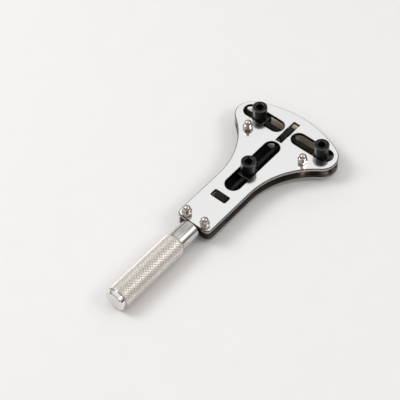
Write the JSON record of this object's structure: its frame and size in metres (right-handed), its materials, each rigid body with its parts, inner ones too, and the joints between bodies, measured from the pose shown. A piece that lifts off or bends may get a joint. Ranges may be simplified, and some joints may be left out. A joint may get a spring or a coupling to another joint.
{
  "type": "case back opener",
  "caption": "Two-plate watch case back opener with a knurled handle and screw-driven sliding bit holders set by knurled thumbwheels.",
  "frame": {"origin": "under the middle of the tool, on the plane of the screw heads and the handle's lowest line that it lies on", "axes": "+Y from the handle to the head, +X to the right seen from above, +Z out of the side with the bit holders"},
  "size_m": [0.074, 0.169, 0.0197],
  "materials": {
    "plate_steel": "bright satin nickel plate, fine brushing",
    "blackened_steel": "black oxide, semi-gloss",
    "bright_chrome": "polished chrome",
    "knurled_alloy": "fine diamond knurl, nickel plated",
    "bright_steel": "turned bright steel"
  },
  "bodies": {
    "frame": {"front_plate": "plate_steel", "back_plate": "plate_steel", "tail_block": "blackened_steel", "centre_track": "blackened_steel", "cross_bearing_left": "blackened_steel", "cross_bearing_right": "blackened_steel", "long_spindle_bearing": "blackened_steel", "head_spacer_left": "bright_steel", "head_spacer_right": "bright_steel", "plate_screws": "bright_steel", "acorn_nuts": "bright_chrome", "handle_stud": "bright_steel", "handle_ferrule": "bright_chrome", "handle_grip": "knurled_alloy", "handle_end_cap": "bright_chrome"},
    "cross_drive": {"cross_spindle": "blackened_steel", "cross_thumbwheel": "blackened_steel", "cross_wheel_pin": "bright_steel"},
    "long_drive": {"long_spindle": "blackened_steel", "long_thumbwheel": "blackened_steel", "long_wheel_pin": "bright_steel"},
    "left_holder": {"left_bit_holder": "blackened_steel"},
    "right_holder": {"right_bit_holder": "blackened_steel"},
    "centre_holder": {"centre_bit_holder": "blackened_steel"}
  },
  "joints": [
    {"name": "cross_wheel_spin", "type": "hinge", "parent": "frame", "child": "cross_drive", "pos_m": [0, 0.0693, 0.0071], "axis": [1, 0, 0], "range_deg": [-1545, 6740]},
    {"name": "left_holder_slide", "type": "slide", "parent": "frame", "child": "left_holder", "axis": [-1, 0, 0], "range_m": [-0.0131, 0.003]},
    {"name": "right_holder_slide", "type": "slide", "parent": "frame", "child": "right_holder", "axis": [1, 0, 0], "range_m": [-0.0131, 0.003]},
    {"name": "long_wheel_spin", "type": "hinge", "parent": "frame", "child": "long_drive", "pos_m": [0, 0.00595, 0.0071], "axis": [0, 1, 0], "range_deg": [-15770, 9866]},
    {"name": "centre_holder_slide", "type": "slide", "parent": "frame", "child": "centre_holder", "axis": [0, 1, 0], "range_m": [-0.0137, 0.0219]}
  ],
  "couplings": [
    {"joint": "cross_wheel_spin", "follows": "left_holder_slide", "rad_per_m": -8976},
    {"joint": "right_holder_slide", "follows": "left_holder_slide", "ratio": 1},
    {"joint": "long_wheel_spin", "follows": "centre_holder_slide", "rad_per_m": -12566}
  ]
}
